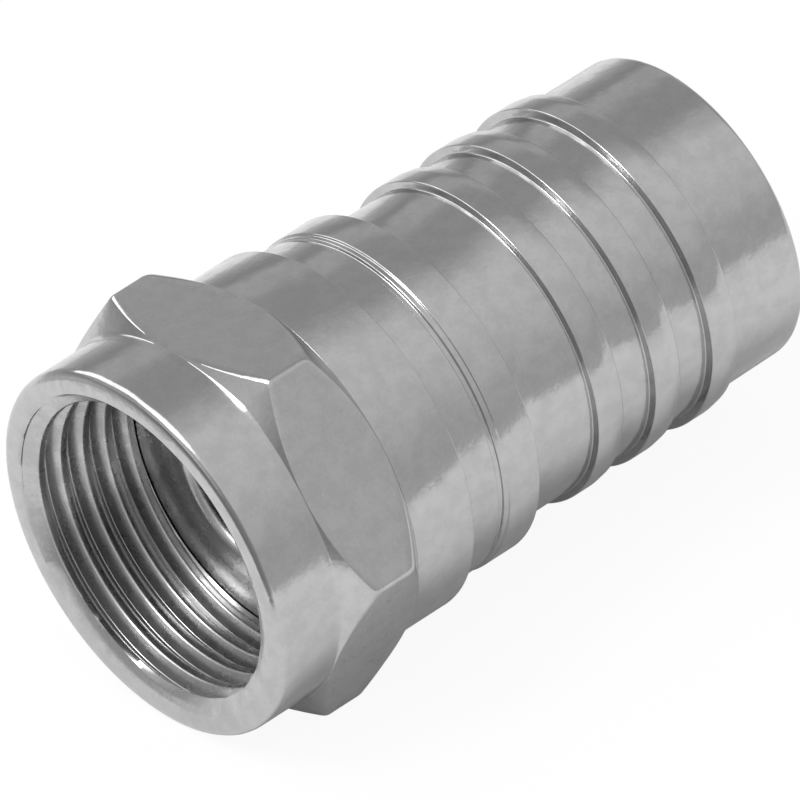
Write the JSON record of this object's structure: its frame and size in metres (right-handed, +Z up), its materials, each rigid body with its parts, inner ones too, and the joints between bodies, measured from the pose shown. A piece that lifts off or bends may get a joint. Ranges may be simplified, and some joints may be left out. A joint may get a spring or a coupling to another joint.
{
  "type": "f connector",
  "caption": "Male coaxial cable plug: chamfered hex coupling nut with a round skirt and internal thread, spinning on a post pressed into a ribbed crimp sleeve.",
  "frame": {"origin": "on the surface that the plug lies on, under the middle of its length", "axes": "+X along the plug's axis from the nut's mouth to the cable end, +Z up; a flat of the hexagon lies on z = 0 and the axis is 5.5 mm above it"},
  "size_m": [0.0196, 0.0126, 0.011],
  "materials": {
    "nut_plating": "bright nickel plate over turned brass",
    "post_plating": "nickel plate over turned brass",
    "sleeve_plating": "satin nickel plate over turned brass"
  },
  "bodies": {
    "barrel": {"post": "post_plating", "crimp_sleeve": "sleeve_plating"},
    "nut": {"coupling_nut": "nut_plating"}
  },
  "joints": [
    {"name": "nut_spin", "type": "hinge", "parent": "barrel", "child": "nut", "pos_m": [-0.00739, 0, 0.0055], "axis": [1, 0, 0], "continuous": true}
  ]
}
